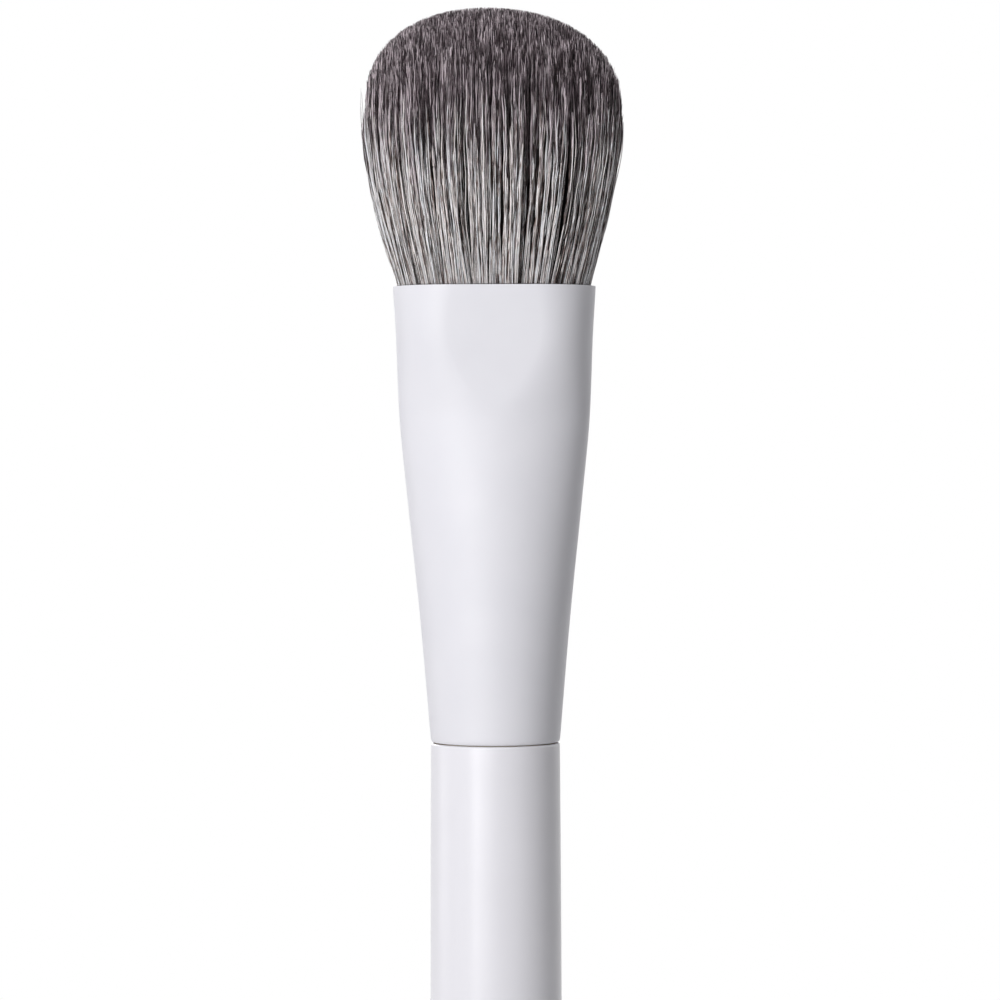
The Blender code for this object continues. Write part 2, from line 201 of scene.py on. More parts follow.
# %% [markdown]
# ## The ferrule
# A real ferrule is a seamless tube drawn from thin metal. It leaves the handle round and is pressed to
# an oval at its mouth, and the press leaves a flat on each broad side that ends in a soft U. The rows
# below say how the section differs from a straight taper, and a smooth curve runs through them.

# %% The ferrule's section at any height
# Rows: share of the length, width and depth against a straight taper, flat against the width
STATION_SHARES = (
    (0.00, 1.000, 1.000, 0.00),
    (0.27, 1.007, 1.096, 0.00),
    (0.54, 1.038, 1.077, 0.00),
    (0.72, 1.047, 0.984, 0.00),
    (0.80, 1.031, 0.961, 0.28),
    (0.88, 1.013, 0.970, 0.44),
    (1.00, 1.000, 1.000, 0.39),
)
STATIONS = np.array(STATION_SHARES)
STATION_SLOPES = np.gradient(STATIONS[:, 1:], STATIONS[:, 0], axis=0)

# Rows: height above the foot, and how far the rolled edge is tucked in there
FOOT_ROLL = np.array(((0.0, 0.17), (0.08, 0.09), (0.2, 0.04), (0.4, 0.012), (0.7, 0.0))) * MM


def ferrule_section(height):
    """Half width, half depth and half flat of the outside, at a height in the frame."""
    share = min(1.0, max(0.0, (height - FOOT_Z) / FERRULE_LENGTH))
    low = int(np.clip(np.searchsorted(STATIONS[:, 0], share) - 1, 0, len(STATIONS) - 2))
    span = STATIONS[low + 1, 0] - STATIONS[low, 0]
    part = (share - STATIONS[low, 0]) / span
    from_low = (1 + 2 * part) * STATIONS[low, 1:] + part * span * STATION_SLOPES[low]
    from_high = (3 - 2 * part) * STATIONS[low + 1, 1:] - (1 - part) * span * STATION_SLOPES[low + 1]
    width_share, depth_share, flat_share = (1 - part) ** 2 * from_low + part**2 * from_high
    tucked = np.interp(height - FOOT_Z, FOOT_ROLL[:, 0], FOOT_ROLL[:, 1])
    half_width = (FOOT_RADIUS + (MOUTH_HALF_WIDTH - FOOT_RADIUS) * share) * width_share - tucked
    half_depth = (FOOT_RADIUS + (MOUTH_HALF_DEPTH - FOOT_RADIUS) * share) * depth_share - tucked
    return half_width, half_depth, half_width * max(0.0, flat_share)


for share in (0.0, 0.5, 0.8, 1.0):
    print(share, [round(size / MM, 2) for size in ferrule_section(FOOT_Z + share * FERRULE_LENGTH)])

# %% [markdown]
# The tube is grown from 76 rings, closer together where the foot's edge is rolled. Solidify then gives
# it the wall of the drawn metal, and Bevel breaks the edges of the mouth, which catch a line of light.

# %% Model the ferrule
BODY_RINGS = 71
RIM_BEVEL = 0.12 * MM
RIM_SEGMENTS = 3
roll_heights = list(FOOT_Z + FOOT_ROLL[:, 0])
body_heights = list(np.linspace(roll_heights[-1], MOUTH_Z, BODY_RINGS + 1)[1:])
ferrule = tube_of_rings("satin_ferrule", roll_heights + body_heights, ferrule_section)
face_outward()
apply_modifier(ferrule, "SOLIDIFY", thickness=FERRULE_WALL, offset=-1.0)
round_edges(ferrule, RIM_BEVEL, RIM_SEGMENTS)
smooth(ferrule)

# %% [markdown]
# ## The handle
# The handle is turned in one piece with its tenon, the peg that is glued into the ferrule. It swells a
# little in the middle, so its radius is a gentle parabola, and every edge is rounded as on a lathe.

# %% The handle's profile
END_ROUNDING = 1.5 * MM
TOP_ROUNDING = 0.3 * MM
TENON_RADIUS = 5.95 * MM
TENON_CHAMFER = 0.8 * MM
TENON_RIM = 0.02 * MM
GROOVES = 3
GROOVE_DEPTH = 0.4 * MM
GROOVE_WIDTH = 1.2 * MM
# Rows: share of a groove's width along the tenon, share of its depth
GROOVE_SHARES = ((-0.5, 0.0), (-0.25, 1.0), (0.25, 1.0), (0.5, 0.0))
ARC_STEPS = 8
BODY_STEPS = 44


def handle_radius(height):
    """The swell of the handle's body."""
    if height > SWELL_Z:
        part, far = (height - SWELL_Z) / (SHOULDER_Z - SWELL_Z), FOOT_RADIUS
    else:
        part, far = (SWELL_Z - height) / SWELL_Z, END_RADIUS
    return SWELL_RADIUS + (far - SWELL_RADIUS) * part**2


def rounding(radius, height, size, start, stop):
    """Points of an arc round a centre, as height and radius."""
    turns = np.radians(np.linspace(start, stop, ARC_STEPS + 1))
    return [(height + size * math.sin(turn), radius + size * math.cos(turn)) for turn in turns]


profile = rounding(handle_radius(END_ROUNDING) - END_ROUNDING, END_ROUNDING, END_ROUNDING, -90, 0)
for height in np.linspace(END_ROUNDING, SHOULDER_Z - TOP_ROUNDING, BODY_STEPS)[1:-1]:
    profile.append((height, handle_radius(height)))
profile += rounding(FOOT_RADIUS - TOP_ROUNDING, SHOULDER_Z - TOP_ROUNDING, TOP_ROUNDING, 0, 90)
profile.append((SHOULDER_Z + TENON_RIM, TENON_RADIUS))
groove_step = (TENON_END_Z - TENON_CHAMFER - SHOULDER_Z) / (GROOVES + 1)
for groove in range(GROOVES):
    middle = SHOULDER_Z + (groove + 1) * groove_step
    for along_share, deep_share in GROOVE_SHARES:
        profile.append((middle + along_share * GROOVE_WIDTH, TENON_RADIUS - deep_share * GROOVE_DEPTH))
profile.append((TENON_END_Z - TENON_CHAMFER, TENON_RADIUS))
profile.append((TENON_END_Z, TENON_RADIUS - TENON_CHAMFER))
print("turned profile:", len(profile), "points")

# %% [markdown]
# The same rings grow the handle, round this time, and the two open ends are closed with flat faces.

# %% Model the handle
radii = dict(profile)
handle = tube_of_rings("lacquered_handle", [height for height, _ in profile],
                       lambda height: (radii[height], radii[height], 0.0))
for end in (profile[0][0], profile[-1][0]):
    select_points(handle, near_height(end))
    bpy.ops.mesh.edge_face_add()
face_outward()
smooth(handle)

# %% [markdown]
# ## The bound root
# Below the mouth the hair is set hard in glue and tied to a knot. Nothing of it shows, but the hair
# grows out of it. It starts as a cylinder, flattened like the mouth, and the knot is extruded from an
# inset in its underside.

# %% Model the bound root
ROOT_BELOW_MOUTH = 0.8 * MM
ROOT_THICKNESS = 2.4 * MM
ROOT_CLEARANCE = 0.3 * MM
ROOT_BEVEL = 0.15 * MM
ROOT_SEGMENTS = 2
THREAD_THICKNESS = 0.8 * MM
ROOT_TOP_Z = MOUTH_Z - ROOT_BELOW_MOUTH
ROOT_UNDER_Z = ROOT_TOP_Z - ROOT_THICKNESS
KNOT_HALF_WIDTH = thread_high.x - THREAD_THICKNESS - ROOT_CLEARANCE
KNOT_HALF_DEPTH = thread_high.y - THREAD_THICKNESS - ROOT_CLEARANCE
outer_width, outer_depth, root_flat = ferrule_section(ROOT_UNDER_Z)
root_half_width = outer_width - FERRULE_WALL - ROOT_CLEARANCE
root_half_depth = outer_depth - FERRULE_WALL - ROOT_CLEARANCE

bound_root = add_piece(
    "bound_root", bpy.ops.mesh.primitive_cylinder_add,
    vertices=RING_SIDES, radius=root_half_depth, depth=ROOT_TOP_Z - ROOT_UNDER_Z,
    location=(0.0, 0.0, (ROOT_TOP_Z + ROOT_UNDER_Z) / 2), rotation=(0.0, 0.0, HALF_STEP))
bpy.ops.object.transform_apply(location=True, rotation=True, scale=True)
bpy.ops.object.mode_set(mode="EDIT")
for end in (ROOT_TOP_Z, ROOT_UNDER_Z):
    select_points(bound_root, near_height(end))
    shape_ring(bound_root, end, (root_half_depth, root_half_depth, 0.0),
               (root_half_width, root_half_depth, root_flat))
select_points(bound_root, near_height(ROOT_UNDER_Z))
bpy.ops.mesh.inset(thickness=root_half_depth - KNOT_HALF_DEPTH)
inset_width = root_half_width - (root_half_depth - KNOT_HALF_DEPTH)
bpy.ops.transform.resize(
    value=(KNOT_HALF_WIDTH / inset_width, 1.0, 1.0), center_override=(0.0, 0.0, ROOT_UNDER_Z))
bpy.ops.mesh.extrude_region_move(
    TRANSFORM_OT_translate={"value": (0.0, 0.0, tuft_low.z - ROOT_UNDER_Z)})
bpy.ops.object.mode_set(mode="OBJECT")
round_edges(bound_root, ROOT_BEVEL, ROOT_SEGMENTS)
smooth(bound_root)

# %% [markdown]
# ## One hair
# A brush of this kind holds some twenty thousand fine synthetic hairs, each drawn out to a tip. One is
# modelled as a slim three-sided rod, one unit long and one unit in radius. It is cut across where it
# will have to bend, and each cut ring is scaled to the hair's taper. Three sides are enough, because a
# hair is about one pixel wide, and a shape that repeats so often has to stay small.

# %% Model a hair
HAIR_SIDES = 3
CUT_REACH = 0.001
TAPER_SHARES = ((0.0, 0.6), (0.35, 0.9), (0.6, 1.0), (0.75, 1.0), (0.9, 0.95), (0.97, 0.75), (1.0, 0.4))
FINE_CUTS = 16
FINE_CUT_STEP = 0.06
FINE_CUT_SHARES = tuple(round(FINE_CUT_STEP * cut, 2) for cut in range(1, FINE_CUTS + 1))
PLAIN_CUT_SHARES = (0.25, 0.5, 0.65, 0.76, 0.84, 0.91, 0.97)


def thickness_at(share):
    """The hair's thickness at a share of its length."""
    return float(np.interp(share, *np.array(TAPER_SHARES).T))


def model_hair(name, cuts):
    """A tapered rod with rings at the cuts, as a mesh that the bundle is laid from."""
    hair = add_piece(name, bpy.ops.mesh.primitive_cylinder_add,
                     vertices=HAIR_SIDES, radius=1.0, depth=1.0, location=(0.0, 0.0, 0.5))
    bpy.ops.object.transform_apply(location=True)
    bpy.ops.object.mode_set(mode="EDIT")
    for share in cuts:
        bpy.ops.mesh.select_all(action="SELECT")
        bpy.ops.mesh.bisect(plane_co=(0.0, 0.0, share), plane_no=(0.0, 0.0, 1.0))
    for share in (0.0, *cuts, 1.0):
        select_points(hair, near_height(share, reach=CUT_REACH))
        thick = thickness_at(share)
        bpy.ops.transform.resize(value=(thick, thick, 1.0), center_override=(0.0, 0.0, share))
    bpy.ops.object.mode_set(mode="OBJECT")
    mesh = hair.data
    bpy.data.objects.remove(hair)
    print(f"{name}: {len(mesh.polygons)} faces")
    return mesh


fine_hair = model_hair("fine_hair", FINE_CUT_SHARES)
plain_hair = model_hair("plain_hair", PLAIN_CUT_SHARES)

# %% [markdown]
# ## The bundle
# The hairs leave the mouth packed side by side and fan out to the shoulder, the widest height, where
# they stand straight. Each hair keeps its place in the bundle, so its path is that place, scaled by the
# bundle's section at each height. A few wisps are added at the rim, most of them on the left.

# %% Sizes of the bundle
rng = np.random.default_rng(11)
HAIRS = 23000
HAIR_RADIUS = 0.062 * MM
MOUTH_CLEARANCE = 0.08 * MM
HAIR_ROOT = -1.4 * MM
SHOULDER = 20.4 * MM
HAIR_HEIGHT = 32.1 * MM
SHOULDER_HALF_WIDTH = 14.95 * MM
SHOULDER_HALF_DEPTH = 9.5 * MM
PLAN_FLAT_SHARE = 0.12
OVAL_SHARE = 0.87
ROOT_JITTER = 0.42
LEAST_DEPTH_SHARE = 0.01
WISPS = 110
WISP_SPREAD = 0.9
WISP_ROOT_SHARE = 0.985

mouth_width, mouth_depth, mouth_flat = ferrule_section(MOUTH_Z)
ROOT_HALF_WIDTH = mouth_width - FERRULE_WALL - MOUTH_CLEARANCE - HAIR_RADIUS
ROOT_HALF_DEPTH = mouth_depth - FERRULE_WALL - MOUTH_CLEARANCE - HAIR_RADIUS
ROOT_FLAT_SHARE = mouth_flat / mouth_width


def oval_depth(across, flat_share):
    """The depth of an oval with flats, against its greatest depth, at a share of its half width."""
    past = np.clip((np.abs(across) - flat_share) / (1 - flat_share), 0.0, 1.0)
    return np.sqrt(1.0 - past**2)


def mouth_depth_share(across):
    """The same for the mouth's oval, kept above nothing so that it can divide."""
    return np.maximum(oval_depth(across, ROOT_FLAT_SHARE), LEAST_DEPTH_SHARE)


def scattered_roots(count):
    """Places in the mouth, as shares of its half width and half depth, near a grid of even spacing."""
    area = 4 * ROOT_HALF_WIDTH * ROOT_HALF_DEPTH * OVAL_SHARE
    spacing = math.sqrt(area / count * 2 / math.sqrt(3))
    rows = int(2 * ROOT_HALF_DEPTH / (spacing * math.sqrt(3) / 2)) + 2
    columns = int(2 * ROOT_HALF_WIDTH / spacing) + 2
    row, column = np.mgrid[0:rows, 0:columns]
    x = (column + 0.5 * (row % 2) - columns / 2) * spacing
    y = (row - rows / 2) * spacing * math.sqrt(3) / 2
    x = x + rng.uniform(-ROOT_JITTER, ROOT_JITTER, x.shape) * spacing
    y = y + rng.uniform(-ROOT_JITTER, ROOT_JITTER, y.shape) * spacing
    across, through = (x / ROOT_HALF_WIDTH).ravel(), (y / ROOT_HALF_DEPTH).ravel()
    inside = (np.abs(across) < 1) & (np.abs(through) < oval_depth(across, ROOT_FLAT_SHARE))
    return across[inside], through[inside]


across, through = scattered_roots(HAIRS)
wisp_turn = rng.normal(math.pi, WISP_SPREAD, WISPS)
wisp_across = WISP_ROOT_SHARE * np.cos(wisp_turn)
wisp_through = np.sign(np.sin(wisp_turn)) * WISP_ROOT_SHARE * oval_depth(wisp_across, ROOT_FLAT_SHARE)
across = np.concatenate((across, wisp_across))
through = np.concatenate((through, wisp_through))
total = len(across)
is_wisp = np.arange(total) >= total - WISPS
print(total, "hairs, of which", WISPS, "wisps")

# %% [markdown]
# Hair is never combed perfectly. Neighbours cling together in small locks, which opens dark gaps
# between them, and a lock wanders as one. A larger lock here and there leans across the others, and
# every hair has a slight wave of its own. The locks come from scattered centres: each hair is drawn
# towards the nearest one, most of all halfway up, and its lock's number also gives it some of its tone.

# %% Locks, waves and strays
# Rows: spacing of the locks in mm, how closely they cling, and how far they wander in mm
LOCK_LEVELS = ((0.22, 0.68, 0.24), (1.15, 0.13, 0.06))
# Heights above the mouth and lifts of the wisps, in mm
LOCK_HEIGHTS = (-2.0, 0.0, 4.0, 9.0, 15.0, 21.0, 33.0)
WISP_LIFT = 0.12
WISP_LIFT_LIMIT = 0.5

LOCK_PULL_SHARES = (0.0, 0.05, 0.6, 1.0, 0.8, 0.55, 0.35)
LEANING_LOCK_SHARE = 0.10
LEANING_LOCK = 0.55 * MM
DRIFT = 0.12 * MM
WAVE = 0.07 * MM
WAVE_SHARES = (0.4, 1.6)
WAVE_TURNS = (0.8, 2.6)
RIPPLES = (0.065 * MM, 0.13 * MM)
RIPPLE_TURNS = (2.8, 5.4)
RIPPLE_STARTS = 5.0 * MM
STRAY_SHARE = 0.02
STRAY_WAVES = 2.5
WISP_RISES = 4.0 * MM

root_x, root_y = across * ROOT_HALF_WIDTH, through * ROOT_HALF_DEPTH


def nearest_centres(spacing):
    """The nearest of scattered centres to each root, which one it is, and how many there are."""
    count = int(4 * ROOT_HALF_WIDTH * ROOT_HALF_DEPTH / spacing**2)
    x = rng.uniform(-ROOT_HALF_WIDTH, ROOT_HALF_WIDTH, count)
    y = rng.uniform(-ROOT_HALF_DEPTH, ROOT_HALF_DEPTH, count)
    tree = kdtree.KDTree(count)
    for number in range(count):
        tree.insert((x[number], y[number], 0.0), number)
    tree.balance()
    found = np.array([tree.find((rx, ry, 0.0))[1] for rx, ry in zip(root_x, root_y)])
    return x[found], y[found], found, count


pull_x, pull_y = np.zeros(total), np.zeros(total)
drift = rng.normal(0.0, DRIFT, (2, total))
lock_chance = np.zeros(total)
for spacing, strength, wander in LOCK_LEVELS:
    centre_x, centre_y, lock, locks = nearest_centres(spacing * MM)
    if not lock_chance.any():
        lock_chance = rng.random(locks)[lock]
    pull_x += (centre_x - root_x) * strength
    pull_y += (centre_y - root_y) * strength
    drift += rng.normal(0.0, wander * MM, (2, locks))[:, lock]
leaning = np.where(rng.random(locks) < LEANING_LOCK_SHARE, rng.uniform(-1.0, 1.0, locks), 0.0)[lock]
outward = np.where(is_wisp, rng.exponential(WISP_LIFT, total).clip(0.0, WISP_LIFT_LIMIT) * MM, 0.0)
stray = np.where(rng.random(total) < STRAY_SHARE, STRAY_WAVES, 1.0)
wave_size = WAVE * stray * rng.uniform(*WAVE_SHARES, total)
wave_turns = rng.uniform(*WAVE_TURNS, (2, total))
wave_start = rng.uniform(0.0, 2 * math.pi, (2, total))
ripple_turns = rng.uniform(*RIPPLE_TURNS, (2, total))
drift *= np.sqrt(stray)
print(locks, "large locks,", int((stray > 1).sum()), "stray hairs")

# %% [markdown]
# The cut head is a smooth dome, wherever a hair's tip ends up. So how far out the tip stands decides the
# hair's length, and hairs that stand out past the rim end lower. Only after that do lengths differ a
# little from hair to hair, which makes the soft edge. A few hairs are shorter, and the dome is a little
# higher on the left, as in the photograph.

# %% How long each hair is
DOME_FULLNESS = 2.22
LEAN = 0.03
LENGTH_SCATTER = 0.3 * MM
SCATTER_LIMITS = (-3.0, 0.7)
SHORT_SHARE = 0.05
SHORT_BY = 2.5 * MM
TIP_PULL = 0.42
TIP_DRIFT = 1.3
RIM_FALL = 60.0 * MM
# Between which heights a wisp ends, in mm
WISP_TIPS = (12.0, 23.0)


def how_far_out(side, front):
    """How far out a place in the bundle is: 0 in the middle, 1 at its rim and more beyond it."""
    return np.hypot(side, front / mouth_depth_share(side) * np.sqrt((1.0 - side**2).clip(0.0)))


out = how_far_out(across, through).clip(0.0, 1.0)
tip_out = how_far_out(
    across + pull_x * TIP_PULL / ROOT_HALF_WIDTH + drift[0] * TIP_DRIFT / SHOULDER_HALF_WIDTH,
    through + pull_y * TIP_PULL / ROOT_HALF_DEPTH + drift[1] * TIP_DRIFT / SHOULDER_HALF_DEPTH)
dome = (1.0 - tip_out.clip(0.0, 1.0) ** DOME_FULLNESS) ** (1.0 / DOME_FULLNESS)
tips = SHOULDER + (HAIR_HEIGHT - SHOULDER) * dome - LEAN * across * SHOULDER_HALF_WIDTH
tips -= (tip_out - 1.0).clip(0.0) * RIM_FALL
tips += rng.normal(0.0, LENGTH_SCATTER, total).clip(*(limit * LENGTH_SCATTER for limit in SCATTER_LIMITS))
short = rng.random(total) < SHORT_SHARE
tips -= short * rng.uniform(0.0, SHORT_BY, total)
tips = np.where(is_wisp, rng.uniform(*WISP_TIPS, total) * MM, tips)
print("tips from", round(tips.min() / MM, 1), "to", round(tips.max() / MM, 1), "mm above the mouth")

# %% [markdown]
# A hair's path is worked out for all hairs at once, one column for each ring of the modelled hair.
# Each copy of the hair is then bent along its own path, and its faces are numbered on from the last.

# %% Lay the hairs along their paths
RADIUS_SHARES = (0.75, 1.25)
WISP_THINNESS = 0.45
LEAST_ROUNDER = 0.8
MOST_FREE = 1.3
hair_radius = HAIR_RADIUS * rng.uniform(*RADIUS_SHARES, total)
hair_radius[is_wisp] *= WISP_THINNESS


def paths(chosen, shares):
    """Places of the chosen hairs' middles at shares of their lengths."""
    length = (tips[chosen] - HAIR_ROOT)[:, None]
    height = HAIR_ROOT + length * shares[None, :]
    rise = (height / SHOULDER).clip(0.0, 1.0)
    spread = np.sin(rise * math.pi / 2)
    half_width = ROOT_HALF_WIDTH + (SHOULDER_HALF_WIDTH - ROOT_HALF_WIDTH) * spread
    half_depth = ROOT_HALF_DEPTH + (SHOULDER_HALF_DEPTH - ROOT_HALF_DEPTH) * spread
    side = across[chosen][:, None]
    rounder = (oval_depth(side, PLAN_FLAT_SHARE) / mouth_depth_share(side)).clip(LEAST_ROUNDER, 1.0)
    x = side * half_width
    y = through[chosen][:, None] * half_depth * (1.0 + (rounder - 1.0) * spread)
    pull = np.interp(height / MM, LOCK_HEIGHTS, LOCK_PULL_SHARES)
    x += pull * pull_x[chosen][:, None] * half_width / ROOT_HALF_WIDTH
    y += pull * pull_y[chosen][:, None] * half_depth / ROOT_HALF_DEPTH
    free = (height / SHOULDER).clip(0.0, MOST_FREE)
    for axis, place in ((0, x), (1, y)):
        turn = wave_turns[axis, chosen][:, None] * rise * 2 * math.pi + wave_start[axis, chosen][:, None]
        place += wave_size[chosen][:, None] * np.sin(turn) * free
        turn = ripple_turns[axis, chosen][:, None] * height / SHOULDER * 2 * math.pi - turn
        place += RIPPLES[axis] * np.sin(turn) * (height / RIPPLE_STARTS).clip(0.0, 1.0)
        place += drift[axis, chosen][:, None] * free
    x += leaning[chosen][:, None] * LEANING_LOCK * np.sin(rise * math.pi)
    lifted = outward[chosen][:, None] * (height / WISP_RISES).clip(0.0, 1.0)
    x += side * lifted
    y += np.sign(through[chosen])[:, None] * np.sqrt(1.0 - side**2) * lifted
    return x, y, height


def lay(name, mesh, chosen):
    """One piece of many hairs, each a bent copy of a modelled hair."""
    count = len(chosen)
    model = np.zeros(len(mesh.vertices) * 3)
    mesh.vertices.foreach_get("co", model)
    model = model.reshape(-1, 3)
    shares, ring = np.unique(model[:, 2].round(4), return_inverse=True)
    x, y, height = paths(chosen, shares)
    thick = hair_radius[chosen][:, None]
    turned = rng.uniform(0.0, 2 * math.pi, count)[:, None]
    across_hair = model[:, 0] * np.cos(turned) - model[:, 1] * np.sin(turned)
    through_hair = model[:, 0] * np.sin(turned) + model[:, 1] * np.cos(turned)
    places = np.stack(
        (x[:, ring] + across_hair * thick, y[:, ring] + through_hair * thick, MOUTH_Z + height[:, ring]), 2)

    corners = np.zeros(len(mesh.loops), int)
    mesh.loops.foreach_get("vertex_index", corners)
    starts = np.zeros(len(mesh.polygons), int)
    mesh.polygons.foreach_get("loop_start", starts)
    step = np.arange(count)[:, None]
    piece_mesh = bpy.data.meshes.new(name)
    piece_mesh.vertices.add(count * len(model))
    piece_mesh.loops.add(count * len(corners))
    piece_mesh.polygons.add(count * len(starts))
    piece_mesh.vertices.foreach_set("co", places.astype(np.float32).ravel())
    piece_mesh.loops.foreach_set("vertex_index", (corners + step * len(model)).ravel())
    piece_mesh.polygons.foreach_set("loop_start", (starts + step * len(corners)).ravel())

    strand = np.stack((
        np.repeat(rng.random(count)[:, None], len(model), 1),
        height[:, ring] / MM,
        np.repeat(lock_chance[chosen][:, None], len(model), 1)), 2)
    depth = (1.0 - out[chosen]) * ROOT_HALF_DEPTH - outward[chosen]
    spot = np.stack((root_x[chosen], root_y[chosen], depth), 1) / MM
    spot = np.repeat(spot[:, None, :], len(model), 1)
    for layer, values in (("strand", strand), ("root_spot", spot)):
        attribute = piece_mesh.attributes.new(layer, "FLOAT_VECTOR", "POINT")
        attribute.data.foreach_set("vector", values.astype(np.float32).ravel())
    piece_mesh.update(calc_edges=True)
    piece_mesh.shade_smooth()
    piece = bpy.data.objects.new(name, piece_mesh)
    bpy.context.scene.collection.objects.link(piece)
    triangles = count * sum(len(face.vertices) - 2 for face in mesh.polygons)
    print(f"{name}: {count} hairs, {triangles} triangles")
    return piece


# %% [markdown]
# Hairs in the outer layers are seen along their whole length and get the fine model. Those inside show
# only their tips, so the plain one serves. Each kind is split into sectors round the brush, so that no
# piece grows too large.

# %% Make the bundle's pieces
OUTER_LAYER = 0.84
SECTORS = 5
bearing = np.arctan2(through, across) / (2 * math.pi) + 0.5
sector = np.minimum((bearing * SECTORS).astype(int), SECTORS - 1)
hair_pieces = []
for kind, mesh, wanted in (
    ("outer_hair", fine_hair, out >= OUTER_LAYER),
    ("core_hair", plain_hair, out < OUTER_LAYER),
):
    for number in range(SECTORS):
        chosen = np.flatnonzero(wanted & (sector == number))
        hair_pieces.append(lay(f"{kind}_{number + 1}", mesh, chosen))

# %% [markdown]
# ## Finishes
# Colours are linear. Noise reads Object coordinates in metres, so a scale of 1000 is one wave a
# millimetre. Noise keeps mostly to the middle of 0 to 1, so it is stretched from there. A group holds
# the texture that several materials share, and each material sets its own amounts.

# %% Helpers for node materials
NOISE_RANGE = (0.3, 0.7)
WHITE = (1.0, 1.0, 1.0)
# A Mix node lists the sockets of every kind, and these are its factor, its colours and their result
MIX_INPUTS = (0, 6, 7)
MIX_RESULT = 2


def new_material(name):
    """An empty node material with its Principled shader."""
    material = bpy.data.materials.new(name)
    material.use_nodes = True
    return material, material.node_tree, material.node_tree.nodes["Principled BSDF"]


def feed(tree, socket, value):
    """Feeds a socket from another one, or sets it to a number, a vector or a colour."""
    if isinstance(value, bpy.types.NodeSocket):
        tree.links.new(value, socket)
    elif socket.type == "RGBA":
        socket.default_value = (*value, 1.0)
    else:
        socket.default_value = value


def add(tree, kind, **settings):
    """Adds a node and sets its properties, or feeds its sockets where a name is a socket's."""
    node = tree.nodes.new(kind)
    for name, value in settings.items():
        if hasattr(node, name):
            setattr(node, name, value)
        else:
            feed(tree, node.inputs[name.replace("_", " ")], value)
    return node


def ramp(tree, stops, source):
    """A colour ramp with these stops, fed from a socket."""
    node = add(tree, "ShaderNodeValToRGB", Fac=source)
    elements = node.color_ramp.elements
    while len(elements) < len(stops):
        elements.new(0.5)
    for element, (position, colour) in zip(elements, stops):
        element.position = position
        element.color = (*colour, 1.0)
    return node.outputs["Color"]


def mapped(tree, source, low, high, to_low, to_high):
    """A value taken from one range to another."""
    node = add(tree, "ShaderNodeMapRange", Value=source,
               From_Min=low, From_Max=high, To_Min=to_low, To_Max=to_high)
    return node.outputs["Result"]


def math_node(tree, operation, *values):
    """A Math node on sockets or numbers."""
    node = add(tree, "ShaderNodeMath", operation=operation)
    for socket, value in zip(node.inputs, values):
        feed(tree, socket, value)
    return node.outputs["Value"]


def add_up(tree, first, *others):
    """The sum of several sockets."""
    for other in others:
        first = math_node(tree, "ADD", first, other)
    return first


def mix_colours(tree, factor, first, second, blend="MIX"):
    """A colour between two, or one times the other, each a socket or a colour."""
    node = add(tree, "ShaderNodeMix", data_type="RGBA", blend_type=blend)
    for number, value in zip(MIX_INPUTS, (factor, first, second)):
        feed(tree, node.inputs[number], value)
    return node.outputs[MIX_RESULT]


def new_group(name, inputs, outputs):
    """A shader node group, with what it is given and what it results in, each named with its kind."""
    tree = bpy.data.node_groups.new(name, "ShaderNodeTree")
    for way, sockets in (("INPUT", inputs), ("OUTPUT", outputs)):
        for label, kind in sockets:
            tree.interface.new_socket(label, in_out=way, socket_type=kind)
    return tree, tree.nodes.new("NodeGroupInput").outputs, tree.nodes.new("NodeGroupOutput").inputs


def textured_material(name, group, strength, distance, **settings):
    """A material with a texture group on its Object coordinates, which also raises its surface."""
    material, tree, shader = new_material(name)
    place = add(tree, "ShaderNodeTexCoord").outputs["Object"]
    texture = add(tree, "ShaderNodeGroup", node_tree=group, Place=place, **settings)
    bump = add(tree, "ShaderNodeBump", Height=texture.outputs["Height"], Strength=strength,
               Distance=distance)
    feed(tree, shader.inputs["Normal"], bump.outputs["Normal"])
    return material, tree, shader, texture.outputs


# %% [markdown]
# Sprayed paint never dries quite flat. It keeps a fine orange peel and faint clouds in its tone. The
# group gives both, from noise at two sizes.

# %% Group: sprayed paint
PEEL_STRENGTH = 0.35
ROUGHNESS_WANDERS = 0.02

paint_group, given, result = new_group(
    "sprayed_paint",
    [("Place", "NodeSocketVector"), ("Peel Scale", "NodeSocketFloat")],
    [("Height", "NodeSocketFloat"), ("Cloud", "NodeSocketFloat")],
)
peel = add(paint_group, "ShaderNodeTexNoise", Vector=given["Place"], Scale=given["Peel Scale"],
           Detail=3.0, Roughness=0.55)
cloud = add(paint_group, "ShaderNodeTexNoise", Vector=given["Place"], Scale=140.0,
            Detail=2.0, Roughness=0.5)
feed(paint_group, result["Height"], peel.outputs["Fac"])
feed(paint_group, result["Cloud"], cloud.outputs["Fac"])


def painted(name, light, shade, roughness, peel_scale, peel_height):
    """A sprayed paint: two near tones in faint clouds, a fine peel, and roughness that wanders."""
    material, tree, shader, skin = textured_material(
        name, paint_group, PEEL_STRENGTH, peel_height, Peel_Scale=peel_scale)
    tone = mapped(tree, skin["Cloud"], *NOISE_RANGE, 0.0, 1.0)
    feed(tree, shader.inputs["Base Color"], mix_colours(tree, tone, light, shade))
    smoother, rougher = roughness - ROUGHNESS_WANDERS, roughness + ROUGHNESS_WANDERS
    feed(tree, shader.inputs["Roughness"], mapped(tree, skin["Cloud"], *NOISE_RANGE, smoother, rougher))
    return material


# Rows: name, light tone, darker tone, roughness, waves of the peel in a metre, height of the peel
PAINTS = (
    ("ferrule_coat", (0.777, 0.770, 0.818), (0.757, 0.751, 0.801), 0.50, 2600.0, 0.006 * MM),
    ("handle_lacquer", (0.806, 0.795, 0.843), (0.791, 0.780, 0.828), 0.33, 1500.0, 0.004 * MM),
)
satin_coat, lacquer = [painted(*row) for row in PAINTS]
print("paints:", satin_coat.name, lacquer.name)

